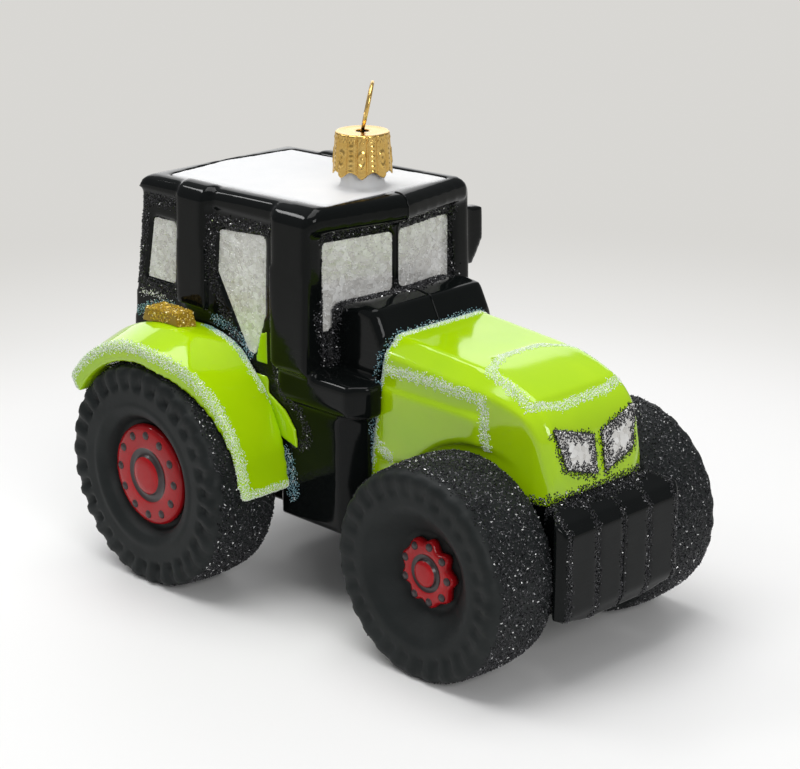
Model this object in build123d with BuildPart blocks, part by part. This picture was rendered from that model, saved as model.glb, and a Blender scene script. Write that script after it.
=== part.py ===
"""Blown-glass tree ornament in the shape of a farm tractor, with a crown cap and a wire hanger.

Millimetres. +X is the tractor's front, +Y its left side, +Z up. The origin is on the table,
midway between the front and the rear of the ornament. Every paired piece is drawn on the
right-hand side, where y is negative, and mirrored to the left.
"""
from build123d import *
from math import atan2, cos, degrees, pi, radians, sin, sqrt
import os

os.makedirs("parts", exist_ok=True)

# ---------------------------------------------------------------- overall places
half_length = 58.0          # middle to the face of the front block, and to the rear fender lip
wheelbase = 70.0
seat_gap = 0.3              # between curved or slanting pieces that lie on each other
rear_axle_x = -wheelbase / 2
front_axle_x = wheelbase / 2

# ---------------------------------------------------------------- wheels
rear_tyre_radius = 22.75
rear_tyre_width = 16.75
rear_outer_y = 38.4         # middle to the lugs on the outer face of a rear tyre
rear_dish_radius = 13.8
rear_dish_depth = 3.6
rear_hub_radius = 10.4

front_tyre_radius = 20.2
front_tyre_width = 16.9
front_outer_y = 31.8
front_dish_radius = 11.9
front_dish_depth = 5.2
front_hub_radius = 6.9
front_hub_notch = 1.0       # how far the front hub's edge dips in between its lobes
rear_hub_notch = 0.0

inner_shoulder = 1.6        # bevel at the tread's inner edge
outer_shoulder = 1.3        # bevel that the lugs bridge at its outer edge
lug_proud = 0.45            # lugs above the side wall
lug_length = 4.2            # along the side wall, from the lug's root to its tip
lug_share = 0.56            # lug width as a share of the pitch
lug_slant = 3.0             # degrees from a lug's root to its tip
lug_clearance = 0.12        # lug tip inside the tread's radius
tread_flats = 2             # flats of the tread to each lug; the wheel rests on one of them
dish_sides = 36             # of the slope from the side wall down to the hub
hub_height = 1.6            # thickness of the red hub disc
boss_height = 0.8           # raised middle of the hub above its disc
boss_share = 0.4            # boss radius as a share of the hub radius

# ---------------------------------------------------------------- lower body
chassis_half_width = 12.2
chassis_bottom = 14.0
chassis_top = 33.0
chassis_bevel = 6.0
chassis_rear_x = -46.0
chassis_front_x = half_length - 8.0
axle_radius = 8.0
axle_sides = 16

side_half_width = 20.2      # middle to the flat sides of the steps and of the rear body
step_rear_x = -13.6
step_front_x = 7.6
step_bottom = 16.4
step_top = 41.0
step_bevel = 3.6            # how far the step's front corner is cut back across the body
step_crease_x = 3.8

tank_half_width = 21.6
tank_height = 6.6
tank_bevel = 1.6
tank_front_x = 10.4

base_rear_x = -54.0
base_bevel = 4.0
cab_floor = 44.0            # top of the rear body, on which the cab walls stand

# ---------------------------------------------------------------- cab
cab_top = 75.0
cab_wall = 1.5
floor_half_width = 20.7
floor_rear_x = -58.0
roof_half_width = 20.1
roof_rear_x = -54.2
cab_corner_x = -4.4         # front corner of the cab
cab_bow = 3.4               # how far the windscreen's middle stands forward of the corners
pane_inset = 0.4            # outer face of the wall to outer face of a pane
pane_thickness = 0.7
post_width = 1.6            # centre post of the windscreen
windscreen_sill = 11.0      # above the cab's floor
windscreen_head = 2.4       # below the cab's top
windscreen_half_width = 17.6
side_window_head = 2.8
quarter_window_sill = 13.3
rear_window_sill = 12.0
rear_window_head = 4.0
rear_window_half_width = 15.4
rib_proud = 2.2             # how far posts and pillars stand out of the side walls
door_post_rear_x = -41.4
door_post_front_x = -32.8
door_post_foot = 10.6       # above the cab's floor
pillar_rear_x = -13.2
pillar_front_x = -2.8
saddle_drop = 0.7           # top of the rim down to where the ribs lap over it
door_panel_proud = 0.15     # how far it stands out of the widest part of the cab
mirror_thickness = 3.0
mirror_reach = 28.2         # middle to the mirror's outer edge
mirror_height = 12.5
mirror_drop = 1.8           # cab's top down to the mirror's top

# ---------------------------------------------------------------- roof, neck, cap and hanger
rim_half_width = 20.6
rim_rear_x = -54.8
rim_corner_x = -2.0
rim_bow = 4.0
rim_height = 5.2            # cab's top up to the roof's edge, over the windscreen
roof_fall = 1.7             # how much lower the roof is at its rear
rim_round = 2.4
rim_bottom_bevel = 0.8
panel_front_x = -3.4
panel_half_width = 16.6
panel_rear_x = -49.4
panel_bow = 2.8
roof_crown = 1.9            # height of the white panel's flat middle above its edges
crown_slope = 74.0          # degrees from upright
roof_thickness = 1.6
neck_x = -10.5
neck_outer_radius = 4.3
neck_wall = 0.7
neck_height = 10.4           # above the rim
cap_clearance = 0.4         # roof's flat middle up to the cap's lobes
cap_bottom_radius = 5.9
cap_top_radius = 5.3
cap_wall = 0.35
cap_flats = 16
cap_lobes = 8
lobe_height = 1.1
cap_hole_radius = 1.3
wire_radius = 0.35
wire_gap = 0.1              # between the hanger's two legs where they pass the cap
loop_half_width = 4.2
loop_rise = 9.6             # centre of the wire above the cap, along the leaning loop
leg_depth = 9.0
leg_spread = 2.3
loop_lean = 12.0            # degrees from upright
loop_turn = -45.0           # degrees from the front to the plane of the loop

# ---------------------------------------------------------------- hood, cowl, front block
nose_x = half_length - 5.6
hood_half_width = 14.8
hood_rear_x = 8.0
hood_lean = 2.4             # how far the rear edge leans forward up to the shoulder, and back below
hood_rear_top = 56.8
hood_break_x = 30.0         # where the top starts to fall towards the nose
hood_break_top = 55.3
crown_x = nose_x - 7.6      # where its slow fall turns into the round brow
crown_top = 51.7
brow_x = nose_x - 1.8       # where the round top meets the flat nose
brow_top = 44.4
hood_skirt_bottom = 26.0
hood_skirt_front_x = 14.0
hood_shoulder = 3.4
nose_bottom = 34.6
nose_half_width = 12.6
nose_point_half_width = 6.0
nose_bow = 2.4
brow_half_width = 13.6
panel_proud = 0.5           # moulded hood panels above the hood
top_panel_rear_x = 31.0
top_panel_front_x = 46.0
top_panel_half_width = 11.2
top_panel_corner = 5.0
side_panel_front_x = 35.0
side_panel_top = 46.8
arch_gap = 0.8              # running between tyre and wheel arch
arch_depth = 1.0
cowl_half_width = 15.2
cowl_ridge = 62.0
cowl_ridge_x = 4.0
block_half_width = 17.2
block_neck_half_width = 13.2
block_lip = 2.0             # length of the block's flared lip
block_top = 34.6
block_ridge = 32.0
block_bottom = 11.6
block_corner_run = 9.0      # its lower corners are cut back this far, and this high
block_corner_rise = 2.2
block_lines = 7.2           # spacing of the grooves down the block's face
groove_depth = 0.4
headlamp_proud = 0.7
headlamp_inner_y = 1.2
headlamp_outer_y = 11.2
headlamp_top = 47.4
headlamp_bottom = 37.2

# ---------------------------------------------------------------- fenders
fender_inner_y = 20.9
fender_crown_y = 29.5
fender_outer_y = 38.2
fender_front_y = 32.5       # outer edge at the fender's lower front end
fender_gap = 0.8            # tyre to the underside of the fender
fender_inner_radius = 28.6  # about the axle, where the fender meets the cab
fender_crown_radius = 30.0
fender_lip_radius = 27.4
fender_top = 53.0
fender_tail = 36.6
fender_toe = 1.9            # thickness at the lower front end
lamp_width = 4.6
lamp_x = -37.9
lamp_length = 11.0
lamp_height = 1.9


def save(piece, name):
    piece.label = name
    export_step(piece, f"parts/{name}.step")


def save_pair(right_piece, name):
    """Write a right-hand piece and its mirror image on the left."""
    save(right_piece, f"{name}_right")
    with BuildPart() as left:
        mirror(right_piece, about=Plane.XZ)
    save(left.part, f"{name}_left")


def right_side(y):
    """Plane facing outwards on the right-hand side, y from the middle: local x forward, local y up."""
    return Plane.XZ.offset(y)


def starred(count, outer_radius, inner_radius):
    """Points of a hub's outline with count lobes."""
    return [((outer_radius, inner_radius)[i % 2] * cos(i * pi / count),
             (outer_radius, inner_radius)[i % 2] * sin(i * pi / count)) for i in range(2 * count)]


# ---------------------------------------------------------------- tyres, hubs and axle necks
# name, axle x, tyre radius, tyre width, outer face, dish radius, dish depth, lugs, hub radius, notch, lobes
wheel_table = [
    ("rear", rear_axle_x, rear_tyre_radius, rear_tyre_width, rear_outer_y,
     rear_dish_radius, rear_dish_depth, 30, rear_hub_radius, rear_hub_notch, 20),
    ("front", front_axle_x, front_tyre_radius, front_tyre_width, front_outer_y,
     front_dish_radius, front_dish_depth, 28, front_hub_radius, front_hub_notch, 9),
]

for (end, axle_x, radius, width, outer, dish_radius, dish_depth,
     lugs, hub_radius, hub_notch, lobes) in wheel_table:
    inner = outer - width
    wall_y = outer - lug_proud
    dish_floor = outer - dish_depth
    centre = (axle_x, radius)
    flats = tread_flats * lugs
    lug_half = lug_share * pi * radius / lugs
    lug_root = radius - lug_clearance - lug_length
    lean = radians(lug_slant) * radius
    with BuildPart() as dish:
        with BuildSketch(right_side(dish_floor)):
            with Locations(centre):
                RegularPolygon(dish_radius, dish_sides, major_radius=False)
        extrude(amount=2 * dish_depth)
        floor_face = dish.faces().sort_by(Axis.Y)[-1]
        chamfer(floor_face.edges(), dish_radius - hub_radius - seat_gap, wall_y - dish_floor,
                reference=floor_face)

    with BuildPart() as tyre:
        with BuildSketch(right_side(inner)):
            with Locations(centre):
                RegularPolygon(radius, flats, major_radius=False, rotation=180 / flats)
        extrude(amount=wall_y - inner)
        chamfer(tyre.faces().sort_by(Axis.Y)[-1].edges(), inner_shoulder)
        chamfer(tyre.faces().sort_by(Axis.Y)[0].edges(), outer_shoulder)
        add(dish.part, mode=Mode.SUBTRACT)
        with BuildSketch(right_side(wall_y - outer_shoulder)):
            with Locations(centre):
                with PolarLocations(0, lugs):
                    Polygon((lug_root, -lug_half - lean), (radius - lug_clearance, -lug_half),
                            (radius - lug_clearance, lug_half), (lug_root, lug_half - lean), align=None)
        extrude(amount=outer_shoulder + lug_proud)
    save_pair(tyre.part, f"tyre_{end}")

    with BuildPart() as hub:
        with BuildSketch(right_side(dish_floor)):
            with Locations(centre):
                Polygon(*starred(lobes, hub_radius, hub_radius - hub_notch), align=None)
        extrude(amount=hub_height)
        with BuildSketch(right_side(dish_floor + hub_height)):
            with Locations(centre):
                Circle(boss_share * hub_radius)
        extrude(amount=boss_height)
    save_pair(hub.part, f"hub_{end}")

    with BuildPart() as axle_neck:
        with BuildSketch(right_side(chassis_half_width)):
            with Locations(centre):
                RegularPolygon(axle_radius, axle_sides)
        extrude(amount=inner - chassis_half_width)
    save_pair(axle_neck.part, f"axle_{end}")

# ---------------------------------------------------------------- hood with its nose and moulded panels
with BuildPart() as hood_core:
    with BuildSketch(Plane.XZ):
        with BuildLine():
            Polyline((hood_rear_x - hood_lean, hood_skirt_bottom),
                     (hood_rear_x + hood_lean, hood_rear_top - 2),
                     (hood_rear_x + hood_lean, hood_rear_top), (hood_break_x, hood_break_top))
            top_run = (hood_break_x - hood_rear_x - hood_lean, hood_break_top - hood_rear_top)
            fall = TangentArc((hood_break_x, hood_break_top), (crown_x, crown_top), tangent=top_run)
            TangentArc((crown_x, crown_top), (brow_x, brow_top), tangent=fall % 1)
            Polyline((brow_x, brow_top), (nose_x, nose_bottom), (nose_x - 2, chassis_top),
                     (hood_skirt_front_x, chassis_top), (hood_skirt_front_x, hood_skirt_bottom),
                     (hood_rear_x - hood_lean, hood_skirt_bottom))
        make_face()
    extrude(amount=hood_half_width, both=True)
    shoulders = hood_core.edges().filter_by(lambda edge: edge.center().Z > brow_top
                                            and abs(edge.center().Y) > hood_half_width - 0.1
                                            and edge.center().X > hood_rear_x + hood_lean + 0.1)
    chamfer(shoulders, hood_shoulder)
    with BuildSketch(Plane.XY.offset(hood_skirt_bottom)):
        with BuildLine():
            right_edge = [(hood_rear_x - hood_lean, -hood_half_width), (hood_break_x, -hood_half_width),
                          (brow_x - 2.8, -brow_half_width), (nose_x - 1.4, -nose_half_width),
                          (nose_x - 1.4 + nose_bow, -nose_point_half_width)]
            Polyline(*right_edge, *[(x, -y) for x, y in reversed(right_edge)], close=True)
        make_face()
    extrude(amount=hood_rear_top - hood_skirt_bottom + 1, mode=Mode.INTERSECT)
    with BuildSketch(Plane.XY.offset(hood_skirt_bottom)):
        Rectangle(4 * hood_skirt_front_x, 2 * chassis_half_width)
    extrude(amount=chassis_top - hood_skirt_bottom, mode=Mode.SUBTRACT)

with BuildPart() as top_panel:
    with BuildSketch(Plane.XY.offset(brow_top)):
        with BuildLine():
            corner = (top_panel_rear_x + top_panel_corner, -top_panel_half_width)
            right_edge = [(top_panel_rear_x, -top_panel_half_width + top_panel_corner), corner,
                          (top_panel_front_x, -top_panel_half_width)]
            Polyline(*right_edge, *[(x, -y) for x, y in reversed(right_edge)], close=True)
        make_face()
    extrude(amount=hood_rear_top - brow_top)
    add(Pos(0, 0, panel_proud) * hood_core.part, mode=Mode.INTERSECT)

with BuildPart() as hood:
    add(hood_core.part)
    add(top_panel.part)
    with BuildSketch(right_side(brow_half_width)):
        with BuildLine():
            panel_rear_x_low = hood_rear_x + seat_gap
            Polyline((panel_rear_x_low, chassis_top), (hood_rear_x + hood_lean, side_panel_top),
                     (side_panel_front_x, side_panel_top), (side_panel_front_x, chassis_top), close=True)
        make_face()
    side_panel = extrude(amount=hood_half_width + panel_proud - brow_half_width)
    mirror(side_panel, about=Plane.XZ)
    with BuildSketch(right_side(hood_half_width - arch_depth)):
        with Locations((front_axle_x, front_tyre_radius)):
            Circle(front_tyre_radius + arch_gap)
    arch = extrude(amount=3 * arch_depth, mode=Mode.SUBTRACT)
    mirror(arch, about=Plane.XZ, mode=Mode.SUBTRACT)
save(hood.part, "hood")

# ---------------------------------------------------------------- chassis and rear body
with BuildPart() as chassis:
    with BuildSketch(Plane.XZ):
        with BuildLine():
            Polyline((chassis_rear_x, chassis_top), (chassis_rear_x, chassis_bottom + chassis_bevel),
                     (chassis_rear_x + chassis_bevel, chassis_bottom),
                     (chassis_front_x - chassis_bevel, chassis_bottom),
                     (chassis_front_x, chassis_bottom + chassis_bevel / 2),
                     (chassis_front_x, chassis_top), close=True)
        make_face()
    extrude(amount=chassis_half_width, both=True)
save(chassis.part, "chassis")

with BuildPart() as rear_body:
    with BuildSketch(Plane.XZ):
        with BuildLine():
            Polyline((base_rear_x, cab_floor), (base_rear_x, chassis_top + base_bevel),
                     (base_rear_x + base_bevel, chassis_top), (step_rear_x, chassis_top),
                     (step_rear_x, cab_floor), close=True)
        make_face()
    extrude(amount=side_half_width, both=True)
    with BuildSketch(Plane.XY.offset(chassis_top)):
        with Locations(((step_rear_x + tank_front_x) / 2, 0)):
            Rectangle(tank_front_x - step_rear_x, 2 * chassis_half_width)
    extrude(amount=cab_floor - chassis_top)
    add(hood.part, mode=Mode.SUBTRACT)
save(rear_body.part, "rear_body")

# ---------------------------------------------------------------- steps under the doors
with BuildPart() as step:
    with BuildSketch(Plane.XY.offset(step_bottom)):
        with BuildLine():
            Polyline((step_rear_x + seat_gap, -chassis_half_width),
                     (step_rear_x + seat_gap, -side_half_width), (step_crease_x, -side_half_width),
                     (step_front_x, -side_half_width + step_bevel),
                     (step_front_x, -chassis_half_width), close=True)
        make_face()
    extrude(amount=step_top - step_bottom)
    add(hood.part, mode=Mode.SUBTRACT)
save_pair(step.part, "step")


# ---------------------------------------------------------------- cab walls and glass
def bowed_plan(z, half_width, rear_x, corner_x, bow):
    """Outline of the cab or the roof at one height: straight sides, and a front that comes to a seam."""
    with BuildSketch(Plane.XY.offset(z)) as plan:
        with BuildLine():
            Polyline((corner_x, -half_width), (rear_x, -half_width), (rear_x, half_width),
                     (corner_x, half_width), (corner_x + bow, 0), close=True)
        make_face()
    return plan.sketch


def cab_body(outset, top):
    """The cab's outer form up to a height, grown by outset, or shrunk where it is negative."""
    rise = (top - cab_floor) / (cab_top - cab_floor)
    top_half_width = floor_half_width + rise * (roof_half_width - floor_half_width)
    top_rear_x = floor_rear_x + rise * (roof_rear_x - floor_rear_x)
    front_x = cab_corner_x + outset
    low = bowed_plan(cab_floor, floor_half_width + outset, floor_rear_x - outset, front_x, cab_bow)
    high = bowed_plan(top, top_half_width + outset, top_rear_x - outset, front_x, cab_bow)
    with BuildPart() as body:
        loft(sections=[low.face(), high.face()], ruled=True)
    return body.part


def side_window(outline):
    """Cutter through the right-hand wall."""
    with BuildPart() as cutter:
        with BuildSketch(right_side(roof_half_width / 2)):
            with BuildLine():
                Polyline(*outline, close=True)
            make_face()
        extrude(amount=floor_half_width)
    return cutter.part


def end_window(x, from_y, to_y, sill, head):
    """Cutter through the front or the rear wall, running forward from x."""
    with BuildPart() as cutter:
        with BuildSketch(Plane.YZ.offset(x)):
            with Locations(((from_y + to_y) / 2, (cab_floor + sill + cab_top - head) / 2)):
                Rectangle(to_y - from_y, cab_top - head - cab_floor - sill)
        extrude(amount=2 * (roof_rear_x - floor_rear_x + cab_bow))
    return cutter.part


door_head = cab_top - side_window_head
door_glass = side_window([(door_post_front_x + 2.4, door_head - 1), (pillar_rear_x - 3.6, door_head),
                          (pillar_rear_x - 3.8, cab_floor + 12.5),
                          (pillar_rear_x - 6.6, cab_floor + 3.8), (pillar_rear_x - 8.8, cab_floor + 4.2),
                          (door_post_front_x + 1.8, cab_floor + 18.6)])
quarter_sill = cab_floor + quarter_window_sill
quarter_glass = side_window([(floor_rear_x + 7.2, door_head - 2.2), (door_post_rear_x - 2.4, door_head - 2),
                             (door_post_rear_x - 3.0, quarter_sill), (floor_rear_x + 5.0, quarter_sill)])
windscreen = end_window(cab_corner_x - cab_bow, -windscreen_half_width, -post_width / 2,
                        windscreen_sill, windscreen_head)
rear_window = end_window(floor_rear_x - 1, -rear_window_half_width, rear_window_half_width,
                         rear_window_sill, rear_window_head)
cab_outer = cab_body(0, cab_top)

with BuildPart() as cab_frame:
    add(cab_outer)
    add(cab_body(-cab_wall, cab_top), mode=Mode.SUBTRACT)
    for cutter in (door_glass, quarter_glass, windscreen):
        add(cutter, mode=Mode.SUBTRACT)
        mirror(cutter, about=Plane.XZ, mode=Mode.SUBTRACT)
    add(rear_window, mode=Mode.SUBTRACT)
save(cab_frame.part, "cab_frame")

# name, the opening that the pane fills, whether the left side has one too
pane_table = [("door_glass", door_glass, True), ("quarter_glass", quarter_glass, True),
              ("windscreen", windscreen, True), ("rear_window", rear_window, False)]
for name, opening, paired in pane_table:
    with BuildPart() as pane:
        add(cab_body(-pane_inset, cab_top))
        add(cab_body(-pane_inset - pane_thickness, cab_top), mode=Mode.SUBTRACT)
        add(opening, mode=Mode.INTERSECT)
    if paired:
        save_pair(pane.part, name)
    else:
        save(pane.part, name)

# ---------------------------------------------------------------- tanks over the steps
with BuildPart() as tank:
    with BuildSketch(Plane.XY.offset(step_top)):
        with BuildLine():
            Polyline((step_rear_x, -chassis_half_width), (step_rear_x, -tank_half_width + tank_bevel),
                     (step_rear_x + tank_bevel, -tank_half_width),
                     (tank_front_x - 2 * tank_bevel, -tank_half_width),
                     (tank_front_x, -tank_half_width + 2 * tank_bevel),
                     (tank_front_x, -chassis_half_width), close=True)
        make_face()
    extrude(amount=tank_height)
    outer_edges = tank.edges().filter_by(Plane.XY).filter_by(
        lambda edge: edge.center().Y < -tank_half_width + tank_bevel)
    chamfer(outer_edges, tank_bevel / 2)
    add(hood.part, mode=Mode.SUBTRACT)
    add(cab_outer, mode=Mode.SUBTRACT)
save_pair(tank.part, "tank")

# ---------------------------------------------------------------- roof rim
rim_top = cab_top + rim_height
fall_angle = atan2(roof_fall, rim_corner_x - rim_rear_x)
roof_plane = Plane(origin=(0, 0, rim_top), x_dir=(cos(fall_angle), 0, sin(fall_angle)),
                   z_dir=(-sin(fall_angle), 0, cos(fall_angle)))
with BuildPart() as roof_rim:
    extrude(bowed_plan(cab_top, rim_half_width, rim_rear_x, rim_corner_x, rim_bow), amount=2 * rim_height)
    split(bisect_by=roof_plane, keep=Keep.BOTTOM)
    fillet(roof_rim.faces().sort_by(Axis.Z)[-1].edges(), rim_round)
    chamfer(roof_rim.faces().sort_by(Axis.Z)[0].edges(), rim_bottom_bevel)
    with BuildSketch(roof_plane) as panel_plan:
        with BuildLine():
            Polyline((panel_front_x, -panel_half_width), (panel_rear_x, -panel_half_width),
                     (panel_rear_x - panel_bow, 0), (panel_rear_x, panel_half_width),
                     (panel_front_x, panel_half_width), close=True)
        make_face()
    extrude(amount=2 * rim_height, both=True, mode=Mode.SUBTRACT)
save(roof_rim.part, "roof_rim")

# ribs stand out of the side walls and lap over the rim's shoulder: name, rear edge, front edge, foot
with BuildPart() as rib_form:
    add(cab_body(rib_proud, rim_top - saddle_drop))
    fillet(rib_form.faces().sort_by(Axis.Z)[-1].edges(), rim_round + rib_proud / 2)
post_table = [("door_post", door_post_rear_x, door_post_front_x, cab_floor + door_post_foot),
              ("front_pillar", pillar_rear_x, pillar_front_x, step_top + tank_height)]
for name, rear_edge, front_edge, foot in post_table:
    with BuildPart() as post:
        with BuildSketch(right_side(roof_half_width - rim_round)):
            with BuildLine():
                Polyline((rear_edge, foot), (front_edge, foot), (front_edge, rim_top), (rear_edge, rim_top),
                         close=True)
            make_face()
        extrude(amount=floor_half_width)
        add(rib_form.part, mode=Mode.INTERSECT)
        add(cab_body(0, cab_top), mode=Mode.SUBTRACT)
        add(roof_rim.part, mode=Mode.SUBTRACT)
    save_pair(post.part, name)

# ---------------------------------------------------------------- door's lower panel
with BuildPart() as door_panel:
    with BuildSketch(right_side(side_half_width)):
        with BuildLine():
            Polyline((pillar_rear_x - 4.8, cab_floor + 8.8), (pillar_rear_x - 2.8, cab_floor + 9.4),
                     (pillar_rear_x - 2.9, step_top), (step_rear_x + 2.5, step_top - 2.6),
                     (step_rear_x + 5.3, step_top - 6), (step_rear_x + 5.9, step_top - 9.6),
                     (step_rear_x - 1, chassis_top + seat_gap), (step_rear_x - 7.0, cab_floor - 1),
                     close=True)
        make_face()
    extrude(amount=floor_half_width + door_panel_proud - side_half_width)
    add(cab_outer, mode=Mode.SUBTRACT)
save_pair(door_panel.part, "door_panel")

# ---------------------------------------------------------------- white roof panel with the glass neck
with BuildPart() as roof_panel:
    extrude(panel_plan.sketch, amount=-roof_thickness)
    extrude(panel_plan.sketch, amount=roof_crown, taper=crown_slope)
    with BuildSketch(Plane.XY.offset(rim_top - roof_thickness / 2)):
        with Locations((neck_x, 0)):
            Circle(neck_outer_radius)
    extrude(amount=neck_height + roof_thickness / 2)
    with BuildSketch(Plane.XY.offset(rim_top - 2 * roof_thickness)):
        with Locations((neck_x, 0)):
            Circle(neck_outer_radius - neck_wall)
    extrude(amount=neck_height + 2 * roof_thickness, mode=Mode.SUBTRACT)
save(roof_panel.part, "roof_panel")

# ---------------------------------------------------------------- crown cap and hanger wire
neck_top = rim_top + neck_height
cap_bottom = rim_top + roof_crown + cap_clearance
cap_draft = degrees(atan2(cap_bottom_radius - cap_top_radius, neck_top - cap_bottom))
with BuildPart() as cap:
    # the stamped skirt and then the room inside it: inset from the outside, height, mode
    for inset, height, mode in ((0, neck_top + cap_wall - cap_bottom, Mode.ADD),
                                (cap_wall, neck_top - cap_bottom, Mode.SUBTRACT)):
        with BuildSketch(Plane.XY.offset(cap_bottom)):
            with Locations((neck_x, 0)):
                RegularPolygon(cap_bottom_radius - inset, cap_flats)
        extrude(amount=height, taper=cap_draft, mode=mode)
    with BuildSketch(Plane.XY.offset(neck_top)):
        with Locations((neck_x, 0)):
            Circle(cap_hole_radius)
    extrude(amount=cap_wall, mode=Mode.SUBTRACT)
    for i in range(cap_lobes):
        heading = (2 * i + 1) * pi / cap_lobes
        outward = Plane(origin=(neck_x, 0, cap_bottom), x_dir=(-sin(heading), cos(heading), 0),
                        z_dir=(cos(heading), sin(heading), 0))
        with BuildSketch(outward):
            Polygon((-lobe_height, 0), (lobe_height, 0), (lobe_height / 2, lobe_height),
                    (-lobe_height / 2, lobe_height), align=None)
        extrude(amount=2 * cap_bottom_radius, mode=Mode.SUBTRACT)
save(cap.part, "cap")

turn = radians(loop_turn)
loop_tilt = radians(loop_lean)
sideways = Vector(cos(turn), sin(turn), 0)
up = Vector(-sin(turn) * sin(loop_tilt), cos(turn) * sin(loop_tilt), cos(loop_tilt))
wire_plane = Plane(origin=(neck_x, 0, neck_top + cap_wall), x_dir=sideways, z_dir=sideways.cross(up))
leg = wire_radius + wire_gap / 2
half_route = [(leg_spread, -leg_depth), (leg, -4 * wire_radius), (leg, 1.5 * wire_radius),
              (loop_half_width, loop_rise - 7), (loop_half_width, loop_rise)]
route = half_route + [(-x, y) for x, y in reversed(half_route)]
corner_radii = [3.0, 0.8, 1.4, loop_half_width - 0.05]
with BuildPart() as hanger:
    with BuildLine(wire_plane) as path:
        FilletPolyline(*route, radius=corner_radii + corner_radii[::-1])
    with BuildSketch(Plane(origin=path.line @ 0, z_dir=path.line % 0)):
        RegularPolygon(wire_radius, 6)
    sweep()
save(hanger.part, "hanger")

# ---------------------------------------------------------------- cowl between hood and windscreen
with BuildPart() as cowl:
    with BuildSketch(Plane.XZ):
        with BuildLine():
            Polyline((cab_corner_x, step_top + tank_height), (cab_corner_x, cowl_ridge - 1.5),
                     (cowl_ridge_x, cowl_ridge), (hood_rear_x, cowl_ridge - 0.6),
                     (hood_rear_x + hood_lean, hood_rear_top), (hood_rear_x + hood_lean, hood_rear_top - 2),
                     (hood_rear_x, step_top + tank_height), close=True)
        make_face()
    extrude(amount=cowl_half_width, both=True)
    ends = cowl.edges().filter_by(lambda edge: abs(edge.center().Y) > cowl_half_width - 0.1
                                  and edge.center().Z > hood_rear_top)
    chamfer(ends, 1.2)
    add(cab_outer, mode=Mode.SUBTRACT)
    add(hood.part, mode=Mode.SUBTRACT)
save(cowl.part, "cowl")

# ---------------------------------------------------------------- front block
block_lip_x = half_length - block_lip
with BuildPart() as front_block:
    with BuildSketch(Plane.XZ):
        with BuildLine():
            Polyline((chassis_front_x, block_top - 2), (nose_x, block_top - seat_gap),
                     (half_length - 1.4, block_ridge), (half_length, block_ridge - 2),
                     (half_length, block_bottom + 3), (half_length - 1.6, block_bottom),
                     (chassis_front_x, block_bottom + 1), close=True)
        make_face()
    extrude(amount=block_half_width, both=True)
    with BuildSketch(Plane.XY.offset(block_bottom)):
        with BuildLine():
            right_edge = [(chassis_front_x, -block_neck_half_width),
                          (block_lip_x - 3, -block_neck_half_width - 0.6), (block_lip_x, -block_half_width),
                          (half_length, -block_half_width + 1.6)]
            Polyline(*right_edge, *[(x, -y) for x, y in reversed(right_edge)], close=True)
        make_face()
    extrude(amount=block_top - block_bottom, mode=Mode.INTERSECT)
    with BuildSketch(Plane.YZ.offset(chassis_front_x)):
        with BuildLine():
            right_edge = [(-block_half_width, block_top),
                          (-block_half_width, block_bottom + block_corner_rise),
                          (-block_half_width + block_corner_run, block_bottom)]
            Polyline(*right_edge, *[(-y, z) for y, z in reversed(right_edge)], close=True)
        make_face()
    extrude(amount=half_length - chassis_front_x, mode=Mode.INTERSECT)
    with BuildSketch(Plane.XY.offset(block_bottom)):
        with Locations([(half_length, i * block_lines) for i in (-1, 0, 1)]):
            Polygon((-groove_depth, 0), (0.1, -groove_depth), (0.1, groove_depth), align=None)
    extrude(amount=block_top - block_bottom, mode=Mode.SUBTRACT)
save(front_block.part, "front_block")

# ---------------------------------------------------------------- fenders and their lamps
arch_radius = rear_tyre_radius + fender_gap
toe_radius = arch_radius + fender_toe
toe_top = 8.0               # above the axle, where the front edge turns down to the toe
fender_rear_x = -half_length
with BuildPart() as fender:
    with BuildSketch(right_side(fender_inner_y)):
        with BuildLine():
            tail = (fender_rear_x, fender_tail + 3.8)
            shoulder_point = (rear_axle_x + 4, fender_top)
            front_edge = (rear_axle_x + sqrt(toe_radius ** 2 - toe_top ** 2), rear_tyre_radius + toe_top)
            Polyline((fender_rear_x + 2.6, fender_tail), tail)
            ThreePointArc(tail, (fender_rear_x + 3.6, fender_top - 4.4), (fender_rear_x + 12, fender_top))
            Line((fender_rear_x + 12, fender_top), shoulder_point)
            ThreePointArc(shoulder_point, (rear_axle_x + 15.2, fender_top - 7.4), front_edge)
            Polyline(front_edge, (rear_axle_x + toe_radius, rear_tyre_radius),
                     (rear_axle_x, rear_tyre_radius), (fender_rear_x + 2.6, fender_tail))
        make_face()
        with Locations((rear_axle_x, rear_tyre_radius)):
            Circle(arch_radius, mode=Mode.SUBTRACT)
    extrude(amount=fender_outer_y - fender_inner_y)
    with BuildSketch(Plane.XY):
        with BuildLine():
            Polyline((fender_rear_x, -fender_outer_y), (rear_axle_x + 5, -fender_outer_y),
                     (rear_axle_x + toe_radius, -fender_front_y), (rear_axle_x + toe_radius, -fender_inner_y),
                     (fender_rear_x, -fender_inner_y), close=True)
        make_face()
    extrude(amount=2 * half_length, mode=Mode.INTERSECT)
    with BuildSketch(Plane(origin=(rear_axle_x, 0, rear_tyre_radius), x_dir=(0, -1, 0), z_dir=(-1, 0, 0))):
        Polygon((fender_inner_y, 0), (fender_inner_y, fender_inner_radius),
                (fender_crown_y, fender_crown_radius), (fender_outer_y, fender_lip_radius),
                (fender_outer_y, 0), align=None)
    revolve(axis=Axis((rear_axle_x, 0, rear_tyre_radius), (0, 1, 0)), mode=Mode.INTERSECT)
save_pair(fender.part, "fender")

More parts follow.
